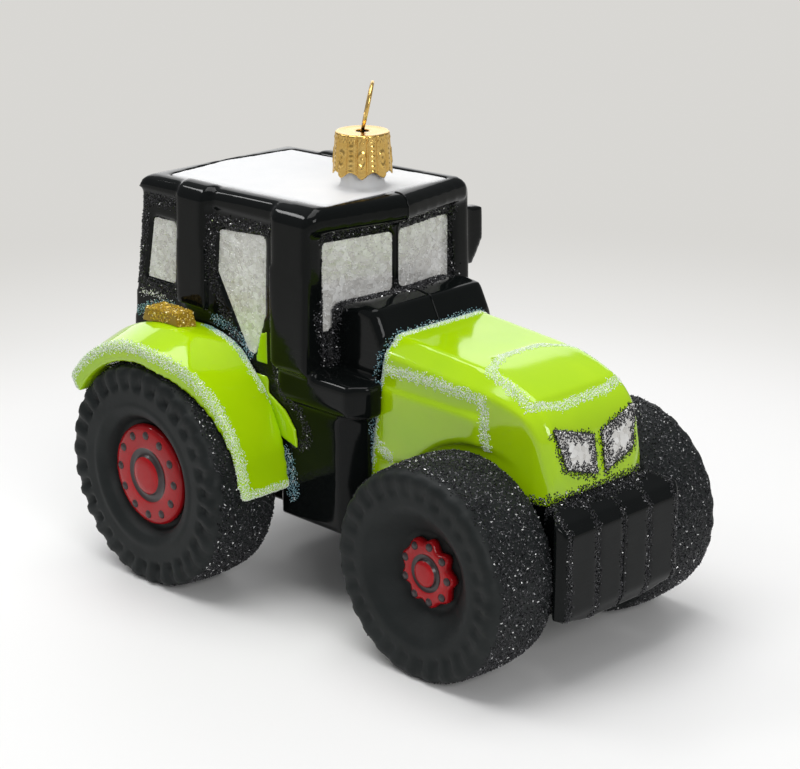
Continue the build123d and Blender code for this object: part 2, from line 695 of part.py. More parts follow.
with BuildPart() as lamp:
    with BuildSketch(right_side(fender_crown_y - lamp_width)):
        with BuildLine():
            lamp_half = lamp_length / 2
            Polyline((lamp_x - lamp_half, fender_top - 1), (lamp_x - lamp_half + 1, fender_top + lamp_height),
                     (lamp_x + lamp_half - 1, fender_top + lamp_height), (lamp_x + lamp_half, fender_top - 1),
                     close=True)
        make_face()
    extrude(amount=lamp_width)
    add(fender.part, mode=Mode.SUBTRACT)
save_pair(lamp.part, "fender_lamp")

# ---------------------------------------------------------------- headlamps and mirror
with BuildPart() as headlamp:
    with BuildSketch(Plane.YZ.offset(brow_x - 3)):
        with BuildLine():
            Polyline((-headlamp_outer_y, headlamp_top), (-headlamp_inner_y, headlamp_top - 3),
                     (-headlamp_inner_y, headlamp_bottom), (-headlamp_outer_y + 2.2, headlamp_bottom + 2.4),
                     close=True)
        make_face()
    extrude(amount=half_length - brow_x)
    add(Pos(headlamp_proud, 0, 0) * hood.part, mode=Mode.INTERSECT)
    add(hood.part, mode=Mode.SUBTRACT)
save_pair(headlamp.part, "headlamp")

mirror_top = cab_top - mirror_drop
with BuildPart() as door_mirror:
    with BuildSketch(Plane.YZ.offset(cab_corner_x - mirror_thickness)):
        with BuildLine():
            mirror_foot = mirror_top - mirror_height
            Polyline((roof_half_width, mirror_foot), (mirror_reach - 3, mirror_foot),
                     (mirror_reach, mirror_foot + 5), (mirror_reach - 0.4, mirror_top - 1),
                     (roof_half_width, mirror_top), close=True)
        make_face()
    extrude(amount=mirror_thickness)
    add(cab_body(rib_proud, cab_top), mode=Mode.SUBTRACT)
save(door_mirror.part, "door_mirror")
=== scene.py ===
"""Looks of the tractor-shaped glass ornament: lacquered blown glass, glitter, a crown cap and its wire."""
import math

import bmesh
import bpy
import numpy as np
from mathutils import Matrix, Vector
from mathutils.bvhtree import BVHTree
from mathutils.kdtree import KDTree


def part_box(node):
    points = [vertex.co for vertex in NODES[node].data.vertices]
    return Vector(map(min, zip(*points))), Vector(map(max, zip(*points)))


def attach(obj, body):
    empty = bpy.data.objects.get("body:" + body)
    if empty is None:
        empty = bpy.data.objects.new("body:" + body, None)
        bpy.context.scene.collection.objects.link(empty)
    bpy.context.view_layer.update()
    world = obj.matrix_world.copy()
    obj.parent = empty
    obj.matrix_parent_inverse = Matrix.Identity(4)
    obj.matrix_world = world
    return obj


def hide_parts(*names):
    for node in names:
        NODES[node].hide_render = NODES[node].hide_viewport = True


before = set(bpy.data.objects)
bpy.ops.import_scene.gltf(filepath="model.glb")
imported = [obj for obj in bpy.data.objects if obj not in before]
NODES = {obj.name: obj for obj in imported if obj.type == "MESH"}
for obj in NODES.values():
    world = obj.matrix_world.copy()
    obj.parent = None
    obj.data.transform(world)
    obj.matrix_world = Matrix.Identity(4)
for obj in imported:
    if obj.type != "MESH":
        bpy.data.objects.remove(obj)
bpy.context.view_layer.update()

MM = 0.001


# ---------------------------------------------------------------- shader writing
class Wire:
    """A shader socket with arithmetic: an expression on wires adds its Math nodes."""

    def __init__(self, tree, socket):
        self.tree = tree
        self.socket = socket

    def math(self, operation, *others):
        node = self.tree.nodes.new("ShaderNodeMath")
        node.operation = operation
        for slot, value in zip(node.inputs, (self, *others)):
            feed(self.tree, slot, value)
        return Wire(self.tree, node.outputs[0])

    def __add__(self, other):
        return self.math("ADD", other)

    __radd__ = __add__

    def __mul__(self, other):
        return self.math("MULTIPLY", other)

    __rmul__ = __mul__

    def __gt__(self, other):
        return self.math("GREATER_THAN", other)


def feed(tree, slot, value):
    """Link a wire to a socket, or set the socket to a plain value."""
    if isinstance(value, Wire):
        tree.links.new(value.socket, slot)
    else:
        slot.default_value = value


def slot_of(node, key):
    """An input of a node by its name, or by its number where the key is at0, at1 and so on."""
    if key.startswith("at"):
        return node.inputs[int(key[2:])]
    return node.inputs[key.replace("_", " ")]


class Finish:
    """A material being written: its node tree, its shader and one method that adds any node."""

    def __init__(self, name, **shader_values):
        self.material = bpy.data.materials.new(name)
        self.material.use_nodes = True
        self.tree = self.material.node_tree
        self.shader = self.tree.nodes["Principled BSDF"]
        for socket, value in shader_values.items():
            self.set(socket.replace("_", " "), value)

    def set(self, socket, value):
        feed(self.tree, self.shader.inputs[socket], value)

    def add(self, kind, settings=(), output=0, **inputs):
        node = self.tree.nodes.new("ShaderNode" + kind)
        for key, value in dict(settings).items():
            if key == "stops":
                ramp = node.color_ramp
                while len(ramp.elements) < len(value):
                    ramp.elements.new(0.5)
                for element, (place, colour) in zip(ramp.elements, value):
                    element.position = place
                    element.color = (*colour, 1.0)
            else:
                setattr(node, key, value)
        for key, value in inputs.items():
            feed(self.tree, slot_of(node, key), value)
        return Wire(self.tree, node.outputs[output])

    def place(self, scale=(1, 1, 1)):
        """Object coordinates in millimetres, stretched by scale."""
        here = self.add("TexCoord", output="Object")
        return self.add("Mapping", Vector=here, Scale=tuple(s / MM for s in scale))

    def noise(self, place, size, detail=2.0):
        """Cloudy noise from 0 to 1; size is that of its clouds in millimetres."""
        return self.add("TexNoise", Vector=place, Scale=1.0 / size, Detail=detail, Roughness=0.5)

    def rise(self, value, low, high):
        """Smooth step from 0 at low to 1 at high."""
        return self.add("MapRange", {"interpolation_type": "SMOOTHSTEP"}, at0=value, at1=low, at2=high,
                        at3=0.0, at4=1.0)

    def mix(self, amount, low, high):
        """Colour between low and high."""
        node = self.tree.nodes.new("ShaderNodeMix")
        node.data_type = "RGBA"
        feed(self.tree, node.inputs["Factor"], amount)
        feed(self.tree, node.inputs[6], low)
        feed(self.tree, node.inputs[7], high)
        return Wire(self.tree, node.outputs[2])

    def bump(self, height, depth, strength=1.0):
        """Raise the surface by height times depth, in millimetres."""
        normal = self.add("Bump", Height=height, Distance=depth * MM, Strength=strength)
        self.set("Normal", normal)


# ---------------------------------------------------------------- finishes
def lacquer(name, colour, deep, rough=0.09, wobble=0.10, streak=0.0, coat=0.5, ior=1.5):
    """Gloss lacquer over blown glass: a slow drift of colour and the unevenness of hand-blown walls."""
    f = Finish(name, Roughness=rough, IOR=ior, Coat_Weight=coat, Coat_Roughness=0.03)
    here = f.place()
    drift = f.noise(here, 14.0, detail=3.0)
    f.set("Base Color", f.mix(drift, (*deep, 1), (*colour, 1)))
    waves = f.noise(here, 9.0, detail=1.0)
    if streak:
        brushed = f.noise(f.place((0.12, 0.12, 1.6)), 1.6, detail=2.0)
        waves = waves + brushed * streak
    f.bump(waves, wobble)
    return f.material


def tyre_matte():
    """Matte charcoal lacquer, a little cloudy from handling."""
    f = Finish("tyre_matte", Roughness=0.55, IOR=1.3)
    here = f.place()
    cloud = f.noise(here, 5.0, detail=4.0)
    f.set("Base Color", f.mix(cloud, (0.004, 0.006, 0.006, 1), (0.018, 0.021, 0.021, 1)))
    f.bump(f.noise(here, 0.8, detail=3.0), 0.03)
    return f.material


def silvering():
    """Bare silvered glass seen through clear glitter: crumpled facets whose bright and dark tones are
    painted reflection.
    """
    f = Finish("silvering", Metallic=0.15, IOR=1.5, Coat_Weight=0.4, Coat_Roughness=0.1)
    here = f.place()
    flakes = f.add("TexVoronoi", output="Color", Vector=here, Scale=0.9, Randomness=1.0)
    shade = f.add("SeparateColor", Color=flakes)
    cloud = f.noise(here, 3.0, detail=4.0)
    # the facets' light and dark tones are painted reflection of the crumpled silvering, not its own colour
    tone = f.mix(shade * 0.7 + cloud * 0.5, (0.60, 0.58, 0.54, 1), (1.0, 1.0, 0.98, 1))
    f.set("Base Color", tone)
    f.set("Roughness", shade * 0.25 + 0.22)
    f.bump(shade + f.noise(here, 2.2) * 1.5, 0.22)
    return f.material


def chalk_white():
    """Matte white lacquer on the roof, with a fine sugary grain."""
    f = Finish("chalk_white", Roughness=0.5, IOR=1.45)
    here = f.place()
    f.set("Base Color", f.mix(f.noise(here, 6.0), (0.68, 0.69, 0.70, 1), (0.74, 0.74, 0.74, 1)))
    f.bump(f.noise(here, 0.35, detail=3.0) + f.noise(here, 7.0) * 2.0, 0.06)
    return f.material


def gilt():
    """Thin gold-coloured stamped tinplate."""
    f = Finish("gilt", Metallic=1.0, Roughness=0.2)
    here = f.place()
    wear = f.noise(here, 1.6, detail=4.0)
    f.set("Base Color", f.mix(wear, (0.60, 0.34, 0.06, 1), (0.92, 0.66, 0.24, 1)))
    f.set("Roughness", wear * 0.2 + 0.12)
    f.bump(f.noise(here, 0.5, detail=2.0), 0.03)
    return f.material


def grit(name, dark, light, rough=0.2, metallic=0.0, sparkle=0.94, painted_glint=(0.9, 0.9, 0.9)):
    """Glitter grains: each takes its own tone from the number stored on it, and a few are painted a bright
    glint colour, a painted glint in place of a real flash of light.
    """
    f = Finish(name, Roughness=rough, Metallic=metallic, IOR=1.5)
    own = f.add("Attribute", {"attribute_name": "grain"}, output="Fac")
    tone = f.mix(own, (*dark, 1), (*light, 1))
    # grains whose number passes sparkle are painted the bright glint colour: a painted glint, not a colour
    # the grain has
    f.set("Base Color", f.mix(own > sparkle, tone, (*painted_glint, 1)))
    return f.material


# distances from the ornament, in metres, over which painted shade greys the paper, and over which it loses
# the lamps' light
PAINTED_DIMMING = (0.11, 0.30)
UNLIT = (0.09, 0.20)


def floor_paper():
    """Pale seamless paper, white under the ornament, with painted shade that makes it a little greyer far
    behind it.

    Far off, where the lamps no longer reach, the paper glows with a painted light, white near and dimming
    to grey, seen by camera and mirror rays.
    """
    f = Finish("floor_paper", Roughness=0.6, IOR=1.3)
    here = f.add("TexCoord", output="Object")
    far = f.add("VectorMath", {"operation": "LENGTH"}, output="Value", at0=here)
    f.set("Base Color", (0.85, 0.847, 0.84, 1))
    painted_dimming = f.rise(far, *PAINTED_DIMMING)
    distant = f.rise(far, *UNLIT)
    ray = f.tree.nodes.new("ShaderNodeLightPath")
    seen = Wire(f.tree, ray.outputs["Is Camera Ray"]) + Wire(f.tree, ray.outputs["Is Glossy Ray"])
    # painted light: the glowing paper dims from white to grey with distance, a painted shade in place of
    # the lamps' falloff
    colour = f.mix(painted_dimming, (0.915, 0.91, 0.90, 1), (0.690, 0.680, 0.655, 1))
    paper = f.add("Emission", Color=colour, Strength=seen)
    both_ways = f.add("MixShader", at0=distant, at1=Wire(f.tree, f.shader.outputs[0]), at2=paper)
    out = next(node for node in f.tree.nodes if node.type == "OUTPUT_MATERIAL")
    f.tree.links.new(both_ways.socket, out.inputs["Surface"])
    return f.material


GREEN = lacquer("green_lacquer", (0.51, 0.78, 0.003), (0.35, 0.64, 0.001), coat=0.2)
BLACK = lacquer("black_lacquer", (0.006, 0.007, 0.007), (0.002, 0.003, 0.003), rough=0.08, wobble=0.14,
                streak=0.12, coat=0.0, ior=1.24)
RED = lacquer("red_lacquer", (0.56, 0.010, 0.016), (0.22, 0.002, 0.004), rough=0.12, coat=0.05, ior=1.32)
TYRE = tyre_matte()
SILVER = silvering()
WHITE = chalk_white()
GILT = gilt()
RING_DARK = lacquer("ring_dark", (0.050, 0.030, 0.032), (0.012, 0.008, 0.009), rough=0.3, coat=0.0)
BLACK_GRIT = grit("black_grit", (0.003, 0.003, 0.004), (0.060, 0.060, 0.066), rough=0.22, metallic=0.3,
                  sparkle=0.98)
CLEAR_GRIT = grit("clear_grit", (0.62, 0.61, 0.58), (1.0, 1.0, 0.98), rough=0.25, sparkle=0.85,
                  painted_glint=(1.0, 1.0, 1.0))
PALE_GRIT = grit("pale_grit", (0.60, 0.73, 0.53), (0.93, 0.98, 0.89), rough=0.3, sparkle=0.85,
                 painted_glint=(1.0, 1.0, 1.0))
TEAL_GRIT = grit("teal_grit", (0.06, 0.20, 0.26), (0.45, 0.66, 0.72), rough=0.3, sparkle=0.93)
GOLD_GRIT = grit("gold_grit", (0.34, 0.20, 0.006), (0.86, 0.62, 0.06), rough=0.3, metallic=0.3, sparkle=0.9,
                 painted_glint=(1.0, 0.9, 0.5))

# use: its material, grains to a square millimetre, size of a grain in millimetres
GRADES = {"tread": (BLACK_GRIT, 5.6, 0.63), "trim": (BLACK_GRIT, 11.0, 0.58),
          "lamp frame": (BLACK_GRIT, 14.0, 0.55), "pale line": (PALE_GRIT, 17.0, 0.46),
          "fender teal": (TEAL_GRIT, 13.0, 0.44), "hood teal": (TEAL_GRIT, 12.0, 0.44),
          "pane": (CLEAR_GRIT, 2.4, 0.46),
          "bare streak": (CLEAR_GRIT, 14.0, 0.42), "fender lamp": (GOLD_GRIT, 9.0, 0.55)}


# ---------------------------------------------------------------- sizes read from the frame
PAIR = ("left", "right")
OUTWARD = {"left": 1.0, "right": -1.0}


def both(*stems):
    return [f"{stem}_{side}" for stem in stems for side in PAIR]


def box_mm(node):
    """Lowest and highest corner of a CAD node in millimetres."""
    low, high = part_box(node)
    return Vector(low) / MM, Vector(high) / MM


class Wheel:
    """Sizes of the front or rear wheels in millimetres, from the right-hand boxes."""

    def __init__(self, end, dish_radius, dish_depth, lugs, relief, rings):
        low, high = box_mm(f"tyre_{end}_right")
        hub_low, hub_high = box_mm(f"hub_{end}_right")
        self.end = end
        self.axle = ((low.x + high.x) / 2, (low.z + high.z) / 2)
        self.radius = (high.z - low.z) / 2
        self.outer = -low.y
        self.width = high.y - low.y
        self.hub_radius = (hub_high.z - hub_low.z) / 2
        self.dish_radius = dish_radius
        self.dish_depth = dish_depth
        self.lugs = lugs
        self.relief = relief
        self.rings = rings


# end, dish radius and depth, lugs round the tyre, relief of the lugs, height of the moulded rings
WHEELS = [Wheel("rear", 13.8, 3.6, 30, 0.55, 0.22), Wheel("front", 13.4, 5.2, 28, 0.26, 0.05)]


# ---------------------------------------------------------------- mesh helpers
def new_piece(name, mesh, material, body="glass", replaced=()):
    """A finished piece at the origin that rides on a body and stands for some CAD nodes."""
    piece = bpy.data.objects.new(name, mesh)
    mesh.name = name
    bpy.context.scene.collection.objects.link(piece)
    if material is not None:
        piece.data.materials.clear()
        piece.data.materials.append(material)
    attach(piece, body)
    if replaced:
        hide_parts(*replaced)
    return piece


def mesh_from(corners, faces):
    """A mesh from corners in millimetres."""
    mesh = bpy.data.meshes.new("grid")
    mesh.from_pydata((np.asarray(corners) * MM).tolist(), [], [list(map(int, face)) for face in faces])
    return mesh


def tidied(mesh, smooth=True):
    """Merges doubled corners, drops empty faces and turns every face outwards."""
    work = bmesh.new()
    work.from_mesh(mesh)
    bmesh.ops.remove_doubles(work, verts=work.verts, dist=2e-6)
    bmesh.ops.dissolve_degenerate(work, edges=work.edges, dist=1e-7)
    bmesh.ops.recalc_face_normals(work, faces=work.faces)
    work.to_mesh(mesh)
    work.free()
    if smooth:
        mesh.shade_smooth()
    return mesh


def merged(nodes):
    """One mesh holding closed copies of some CAD nodes."""
    work = bmesh.new()
    for node in nodes:
        part = bmesh.new()
        part.from_mesh(NODES[node].data)
        bmesh.ops.remove_doubles(part, verts=part.verts, dist=1e-6)
        mesh = bpy.data.meshes.new("part")
        part.to_mesh(mesh)
        part.free()
        work.from_mesh(mesh)
        bpy.data.meshes.remove(mesh)
    mesh = bpy.data.meshes.new("merged")
    work.to_mesh(mesh)
    work.free()
    return mesh


def finished_mesh(mesh, modifiers):
    """The mesh that some modifiers make of another: each is a kind and its settings."""
    raw = bpy.data.objects.new("raw", mesh)
    bpy.context.scene.collection.objects.link(raw)
    for kind, settings in modifiers:
        modifier = raw.modifiers.new(kind.lower(), kind)
        for key, value in settings.items():
            setattr(modifier, key, value)
    result = bpy.context.evaluated_depsgraph_get()
    made = bpy.data.meshes.new_from_object(raw.evaluated_get(result))
    bpy.data.objects.remove(raw)
    return made


def blown(name, nodes, material, voxel, rounds):
    """Melts CAD nodes into one smooth-walled skin, with every edge rounded as blown glass is."""
    mesh = finished_mesh(merged(nodes), [("REMESH", {"mode": "VOXEL", "voxel_size": voxel * MM}),
                                         ("SMOOTH", {"factor": 0.5, "iterations": rounds})])
    mesh.shade_smooth()
    return new_piece(name, mesh, material, replaced=nodes)


def smooth_line(points, count, rounds=3):
    """Points evenly spaced along a line through others, with its corners eased."""
    points = np.array(points, dtype=float)
    reach = np.concatenate([[0], np.cumsum(np.linalg.norm(np.diff(points, axis=0), axis=1))])
    spaced = np.linspace(0, reach[-1], count)
    line = np.stack([np.interp(spaced, reach, column) for column in points.T], axis=1)
    for _ in range(rounds):
        line[1:-1] = line[1:-1] / 2 + (line[:-2] + line[2:]) / 4
    return line


def turned(axle, outer, side, radii, depths):
    """Corners and faces of a shape turned round an axle across the ornament.

    radii and depths are grids over heading and step; depth runs inwards from the outer face.
    """
    headings, steps = radii.shape
    angle = np.arange(headings)[:, None] * 2 * np.pi / headings
    corners = np.stack([axle[0] + radii * np.cos(angle), OUTWARD[side] * (outer - depths),
                        axle[1] + radii * np.sin(angle)], axis=-1).reshape(-1, 3)
    here = np.arange(headings)[:, None] * steps + np.arange(steps - 1)[None, :]
    there = (np.arange(headings)[:, None] + 1) % headings * steps + np.arange(steps - 1)[None, :]
    faces = np.stack([here, there, there + 1, here + 1], axis=-1).reshape(-1, 4)
    return corners, faces


def ramp(value, low, high):
    """Smooth step from 0 at low to 1 at high."""
    share = np.clip((value - low) / (high - low), 0, 1)
    return share * share * (3 - 2 * share)


# ---------------------------------------------------------------- glitter by Geometry Nodes
def node_tree(name, sockets):
    """An empty geometry tree with named inputs, its input node and its output node."""
    tree = bpy.data.node_groups.new(name, "GeometryNodeTree")
    for label, kind in sockets:
        tree.interface.new_socket(label, in_out="INPUT", socket_type="NodeSocket" + kind)
    tree.interface.new_socket("Made", in_out="OUTPUT", socket_type="NodeSocketGeometry")
    return tree, tree.nodes.new("NodeGroupInput"), tree.nodes.new("NodeGroupOutput")


def add_to(tree, kind, settings=(), **inputs):
    """A node of a geometry tree: settings first, then values or sockets for its inputs."""
    node = tree.nodes.new(kind)
    for key, value in dict(settings).items():
        setattr(node, key, value)
    for key, value in inputs.items():
        if isinstance(value, bpy.types.NodeSocket):
            tree.links.new(value, slot_of(node, key))
        else:
            slot_of(node, key).default_value = value
    return node


def ended(tree, last, given, made):
    """The tree, ended by giving what its last node makes the material Finish."""
    coated = add_to(tree, "GeometryNodeSetMaterial", Geometry=last.outputs[0],
                    Material=given.outputs["Finish"])
    tree.links.new(coated.outputs[0], made.inputs[0])
    return tree


def glitter_tree():
    """Grains on a surface, as thick as its attribute cover says, each with its own turn, size and tone."""
    tree, given, made = node_tree("glitter", [("Surface", "Geometry"), ("Density", "Float"),
                                              ("Grain", "Float"), ("Seed", "Int"), ("Finish", "Material")])
    cover = add_to(tree, "GeometryNodeInputNamedAttribute", {"data_type": "FLOAT"}, Name="cover")
    density = add_to(tree, "ShaderNodeMath", {"operation": "MULTIPLY"},
                     at0=given.outputs["Density"], at1=cover.outputs[0])
    spots = add_to(tree, "GeometryNodeDistributePointsOnFaces", Mesh=given.outputs["Surface"],
                   Density=density.outputs[0], Seed=given.outputs["Seed"])
    chip = add_to(tree, "GeometryNodeMeshUVSphere", Segments=3, Rings=2, Radius=1.0)
    full_turn = 2 * math.pi
    turn = add_to(tree, "FunctionNodeRandomValue", {"data_type": "FLOAT_VECTOR"},
                  at0=(0, 0, 0), at1=(full_turn, full_turn, full_turn), Seed=given.outputs["Seed"])
    heading = add_to(tree, "FunctionNodeEulerToRotation", Euler=turn.outputs[0])
    spread = add_to(tree, "FunctionNodeRandomValue", {"data_type": "FLOAT_VECTOR"},
                    at0=(0.34, 0.30, 0.13), at1=(0.67, 0.59, 0.33), Seed=given.outputs["Seed"])
    sized = add_to(tree, "ShaderNodeVectorMath", {"operation": "SCALE"},
                   at0=spread.outputs[0], Scale=given.outputs["Grain"])
    chips = add_to(tree, "GeometryNodeInstanceOnPoints", Points=spots.outputs["Points"],
                   Instance=chip.outputs["Mesh"], Rotation=heading.outputs[0], Scale=sized.outputs[0])
    tone = add_to(tree, "FunctionNodeRandomValue", {"data_type": "FLOAT"}, Seed=given.outputs["Seed"])
    toned = add_to(tree, "GeometryNodeStoreNamedAttribute", {"data_type": "FLOAT", "domain": "INSTANCE"},
                   Geometry=chips.outputs[0], Name="grain", Value=tone.outputs[1])
    real = add_to(tree, "GeometryNodeRealizeInstances", Geometry=toned.outputs[0])
    flat = add_to(tree, "GeometryNodeSetShadeSmooth", Geometry=real.outputs[0], Shade_Smooth=False)
    return ended(tree, flat, given, made)


def studs_tree():
    """A ring of small domes, planned flat round the origin and then carried to its hub."""
    tree, given, made = node_tree("studs", [("Surface", "Geometry"), ("Radius", "Float"), ("Count", "Int"),
                                            ("Stud", "Float"), ("Place", "Vector"), ("Finish", "Material")])
    ring = add_to(tree, "GeometryNodeMeshCircle", Vertices=given.outputs["Count"],
                  Radius=given.outputs["Radius"])
    dome = add_to(tree, "GeometryNodeMeshUVSphere", Segments=10, Rings=6, Radius=1.0)
    smooth = add_to(tree, "GeometryNodeSetShadeSmooth", Geometry=dome.outputs["Mesh"], Shade_Smooth=True)
    low_dome = add_to(tree, "ShaderNodeVectorMath", {"operation": "SCALE"},
                      at0=(1.0, 1.0, 0.45), Scale=given.outputs["Stud"])
    domes = add_to(tree, "GeometryNodeInstanceOnPoints", Points=ring.outputs[0],
                   Instance=smooth.outputs[0], Scale=low_dome.outputs[0])
    upright = add_to(tree, "GeometryNodeTransform", Geometry=domes.outputs[0],
                     Rotation=(math.radians(90), 0, 0), Translation=given.outputs["Place"])
    real = add_to(tree, "GeometryNodeRealizeInstances", Geometry=upright.outputs[0])
    return ended(tree, real, given, made)


def bead_tree():
    """A round bead along the edges of a mesh."""
    tree, given, made = node_tree("bead", [("Surface", "Geometry"), ("Thickness", "Float"),
                                           ("Finish", "Material")])
    line = add_to(tree, "GeometryNodeMeshToCurve", Mesh=given.outputs["Surface"])
    section = add_to(tree, "GeometryNodeCurvePrimitiveCircle", Resolution=8,
                     Radius=given.outputs["Thickness"])
    bead = add_to(tree, "GeometryNodeCurveToMesh", Curve=line.outputs[0],
                  Profile_Curve=section.outputs[0], Fill_Caps=True)
    real = add_to(tree, "GeometryNodeRealizeInstances", Geometry=bead.outputs[0])
    return ended(tree, real, given, made)


GLITTER = glitter_tree()
STUDS = studs_tree()
BEAD = bead_tree()


def planned(tree, host, **values):
    """The plain mesh that a geometry tree makes on a host mesh."""
    raw = bpy.data.objects.new("plan", host)
    bpy.context.scene.collection.objects.link(raw)
    modifier = raw.modifiers.new("plan", "NODES")
    modifier.node_group = tree
    for item in tree.interface.items_tree:
        if item.in_out == "INPUT" and item.name in values:
            modifier[item.identifier] = values[item.name]
    result = bpy.context.evaluated_depsgraph_get()
    mesh = bpy.data.meshes.new_from_object(raw.evaluated_get(result))
    bpy.data.objects.remove(raw)
    return mesh


def arrays_of(mesh):
    """Corners in millimetres, triangles, and the way each triangle faces."""
    mesh.calc_loop_triangles()
    corners = np.empty(len(mesh.vertices) * 3)
    mesh.vertices.foreach_get("co", corners)
    triangles = np.empty(len(mesh.loop_triangles) * 3, dtype=np.int64)
    mesh.loop_triangles.foreach_get("vertices", triangles)
    corners = corners.reshape(-1, 3) / MM
    triangles = triangles.reshape(-1, 3)
    a, b, c = (corners[triangles[:, i]] for i in range(3))
    facing = np.cross(b - a, c - a)
    facing /= np.maximum(np.linalg.norm(facing, axis=1, keepdims=True), 1e-12)
    return corners, triangles, facing


def host_mesh(corners, triangles, cover):
    """A surface for glitter: the triangles that have some cover, with cover kept on their corners."""
    kept = triangles[cover[triangles].max(axis=1) > 0.01]
    used, renumbered = np.unique(kept, return_inverse=True)
    mesh = mesh_from(corners[used], renumbered.reshape(-1, 3))
    attribute = mesh.attributes.new("cover", "FLOAT", "POINT")
    attribute.data.foreach_set("value", cover[used].astype(np.float32))
    return mesh


def glitter_piece(name, hosts, grade, seed):
    """One piece of glitter of a grade on one or more host meshes."""
    material, density, grain = GRADES[grade]
    work = bmesh.new()
    for host in hosts:
        work.from_mesh(host)
    joined = bpy.data.meshes.new("host")
    work.to_mesh(joined)
    work.free()
    mesh = planned(GLITTER, joined, Density=density / MM ** 2, Grain=grain * MM, Seed=seed, Finish=material)
    new_piece(name, mesh, material)


def banded(skin, lines, half_width, ragged=0.25):
    """The part of a skin within half_width of some lines, each first laid down on the skin."""
    corners, triangles, _ = arrays_of(skin.data)
    ground = BVHTree.FromPolygons(corners.tolist(), triangles.tolist())
    samples = []
    for line in lines:
        line = np.array(line, dtype=float)
        count = max(2, int(np.linalg.norm(np.diff(line, axis=0), axis=1).sum() / 0.35))
        for point in smooth_line(line, count, rounds=1):
            place = ground.find_nearest(Vector(point))[0]
            samples.append(place if place is not None else Vector(point))
    tree = KDTree(len(samples))
    for i, sample in enumerate(samples):
        tree.insert(sample, i)
    tree.balance()
    near = np.array([tree.find(corner)[2] for corner in corners])
    x, y, z = corners.T
    wave = np.sin(x * 2.9 + z * 2.3) * np.sin(y * 3.1 - z * 1.7)
    reach = half_width * (1 + ragged * wave)
    return host_mesh(corners, triangles, 1 - ramp(near, reach - 0.25, reach + 0.25))


def on_side(line, side):
    """A line of the right-hand side, moved to either side of the ornament."""
    return [(x, -y * OUTWARD[side], z) for x, y, z in line]


def mirrored(lines):
    """Lines for both sides of the ornament, from those of the right-hand side."""
    return [list(line) for line in lines] + [[(x, -y, z) for x, y, z in line] for line in lines]


# ---------------------------------------------------------------- tyres
SPOKES_PER_LUG = 8
LUG_RUN = 4.9               # of the lugs down the side wall
LUG_SLANT = 1.3             # turn of a lug's root against its tip, in radians of the lug's own wave
LUG_WANDER = (0.35, 0.25)   # unevenness of the lugs round the wheel, slow and quick
FRAY = (0.35, 0.3)          # unevenness of the glitter's edge, slow and quick
TREAD_SEED = 11


def tyre_profile(wheel):
    """Points (radius, depth) from the middle of the dish out over side wall and tread, and back."""
    radius, width, slope = wheel.radius, wheel.width, wheel.dish_depth
    floor = wheel.hub_radius + 0.4
    lip = wheel.dish_radius
    wall = smooth_line([(floor, slope), (floor + 0.5, slope - 0.1), (lip - 1.4, 1.3), (lip - 0.1, 0.50),
                        (lip + 0.7, 0.46 - wheel.rings), (lip + 1.4, 0.42), (lip + 3.0, 0.28),
                        (radius - 1.9, 0.0), (radius - 0.8, 0.30), (radius - 0.15, 1.1),
                        (radius + 0.1, 2.2), (radius + 0.1, 3.4)], 46, rounds=1)
    heel = smooth_line([(radius, width - 1.6), (radius - 0.3, width - 0.6), (radius - 1.4, width)], 6,
                       rounds=1)
    tread = [(radius + 0.1 + 0.35 * math.sin(math.pi * share), 3.4 + (width - 5.0) * share)
             for share in (0.25, 0.5, 0.75)]
    return np.array([(0.0, slope), *wall, *tread, *heel, (0.0, width)])


def make_tyre(wheel, side):
    """Matte tyre with soft moulded lugs, and its coarse black glitter tread."""
    profile = tyre_profile(wheel)
    steps = len(profile)
    headings = wheel.lugs * SPOKES_PER_LUG
    angle = np.arange(headings)[:, None] * 2 * np.pi / headings
    radii = np.repeat(profile[None, :, 0], headings, axis=0)
    depths = np.repeat(profile[None, :, 1], headings, axis=0)
    along = np.gradient(profile, axis=0)
    along /= np.maximum(np.linalg.norm(along, axis=1, keepdims=True), 1e-9)

    root = wheel.radius - LUG_RUN
    slant = LUG_SLANT * (radii - root) / LUG_RUN
    wander = LUG_WANDER[0] * np.sin(3 * angle + 1.1) + LUG_WANDER[1] * np.sin(7 * angle)
    lug = ramp(np.cos(wheel.lugs * angle + slant + wander), -0.5, 0.6)
    on_wall = ramp(radii, root - 0.5, root + 0.9)
    raised = on_wall * (1 - 0.45 * ramp(depths, 0.4, 1.0)) * (1 - ramp(depths, 1.0, 2.6))
    pit = 0.55 * np.exp(-((radii - root - 0.7) / 0.8) ** 2) * (depths < 2)
    sunk = wheel.relief * (1 - lug) * raised * (1 + pit) * (1 + 0.25 * np.sin(5 * angle + 2))
    sway = 0.07 * np.sin(2 * angle + 0.5) * (depths < wheel.dish_depth) * (radii > 1)
    radii = radii - along[None, :, 1] * sunk
    depths = depths + along[None, :, 0] * sunk + np.maximum(sway, 0)

    corners, faces = turned(wheel.axle, wheel.outer, side, radii, depths)
    new_piece(f"tyre_skin_{wheel.end}_{side}", tidied(mesh_from(corners, faces)), TYRE,
              replaced=[f"tyre_{wheel.end}_{side}"])

    fray = FRAY[0] * np.sin(11 * angle) * np.sin(4 * angle + 1) + FRAY[1] * np.sin(37 * angle)
    start = 1.5 + fray
    cover = ramp(depths, start, start + 0.7) * (1 - ramp(depths, wheel.width - 1.0, wheel.width - 0.3))
    cover = cover * ramp(radii, root, root + 0.8)
    cover[:, [0, -1]] = 0
    triangles = np.concatenate([faces[:, :3], faces[:, [0, 2, 3]]])
    host = host_mesh(corners, triangles, cover.reshape(-1))
    glitter_piece(f"tread_glitter_{wheel.end}_{side}", [host], "tread", TREAD_SEED + len(side))


# ---------------------------------------------------------------- hubs
HUB_RISE = 1.6              # disc above the dish's floor
HUB_LOBES = {"rear": (20, 0.0), "front": (9, 1.0)}
HUB_STUDS = {"rear": (12, 0.80, 0.90), "front": (9, 0.80, 0.84)}
